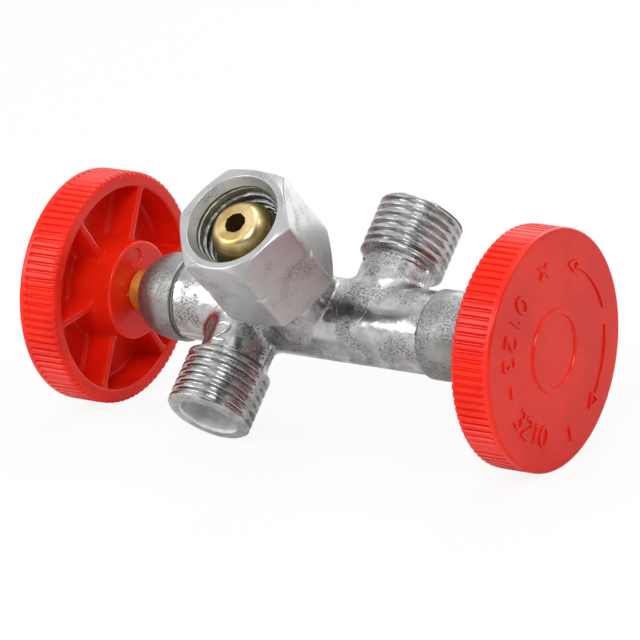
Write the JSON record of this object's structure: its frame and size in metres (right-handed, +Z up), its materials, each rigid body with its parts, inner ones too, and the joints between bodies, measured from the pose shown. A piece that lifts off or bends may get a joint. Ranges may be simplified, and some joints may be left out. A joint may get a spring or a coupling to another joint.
{
  "type": "gas branch valve",
  "caption": "Gas branch valve with a union nut inlet and opposed threaded outlets, each shut off by its own red handwheel on a brass spindle.",
  "frame": {"origin": "bottom centre of the bounding box, on the table that the valve rests on", "axes": "+X along the barrel towards the right handwheel, +Z up, -Y on the side of the union nut; the valve lies on the rims of both handwheels and the mouth of the left outlet"},
  "size_m": [0.085, 0.0438, 0.0438],
  "materials": {
    "cast_zinc": "zinc pressure casting with a thin bright nickel plate",
    "headwork_zinc": "plated casting, slightly darker and rougher",
    "nut_metal": "plated nut, turned faces",
    "nipple_brass": "turned brass",
    "spindle_brass": "turned brass",
    "seal_rubber": "matt black",
    "gasket_fibre": "matt dark grey",
    "wheel_plastic": "moulded, semi-matt red"
  },
  "bodies": {
    "valve_body": {"valve_body": "cast_zinc", "inlet_nipple": "nipple_brass", "nipple_seal": "seal_rubber", "bonnet_right": "headwork_zinc", "bonnet_left": "headwork_zinc", "bonnet_gasket_right": "gasket_fibre", "bonnet_gasket_left": "gasket_fibre"},
    "nut_ring": {"nut_thrust_ring": "nipple_brass"},
    "union_nut": {"union_nut": "nut_metal"},
    "plug_right": {"valve_plug_right": "spindle_brass", "seat_washer_right": "seal_rubber"},
    "handwheel_right": {"handwheel_right": "wheel_plastic", "spindle_right": "spindle_brass", "spindle_oring_inner_right": "seal_rubber", "spindle_oring_outer_right": "seal_rubber"},
    "plug_left": {"valve_plug_left": "spindle_brass", "seat_washer_left": "seal_rubber"},
    "handwheel_left": {"handwheel_left": "wheel_plastic", "spindle_left": "spindle_brass", "spindle_oring_inner_left": "seal_rubber", "spindle_oring_outer_left": "seal_rubber"}
  },
  "joints": [
    {"name": "nut_slide", "type": "slide", "parent": "valve_body", "child": "nut_ring", "axis": [0, -0.7059, 0.7083], "range_m": [0, 0.00648]},
    {"name": "nut_spin", "type": "hinge", "parent": "nut_ring", "child": "union_nut", "pos_m": [0, -0.01018, 0.03206], "axis": [0, -0.7059, 0.7083], "continuous": true},
    {"name": "plug_lift_right", "type": "slide", "parent": "valve_body", "child": "plug_right", "axis": [1, 0, 0], "range_m": [0, 0.0025]},
    {"name": "handwheel_turn_right", "type": "hinge", "parent": "plug_right", "child": "handwheel_right", "pos_m": [0.0422, 0.00384, 0.018], "axis": [1, 0, 0], "range_deg": [0, 900]},
    {"name": "plug_lift_left", "type": "slide", "parent": "valve_body", "child": "plug_left", "axis": [-1, 0, 0], "range_m": [0, 0.0025]},
    {"name": "handwheel_turn_left", "type": "hinge", "parent": "plug_left", "child": "handwheel_left", "pos_m": [-0.0422, 0.00384, 0.018], "axis": [-1, 0, 0], "range_deg": [0, 900]}
  ],
  "couplings": [
    {"joint": "handwheel_turn_right", "follows": "plug_lift_right", "rad_per_m": 6283.2},
    {"joint": "handwheel_turn_left", "follows": "plug_lift_left", "rad_per_m": 6283.2}
  ]
}
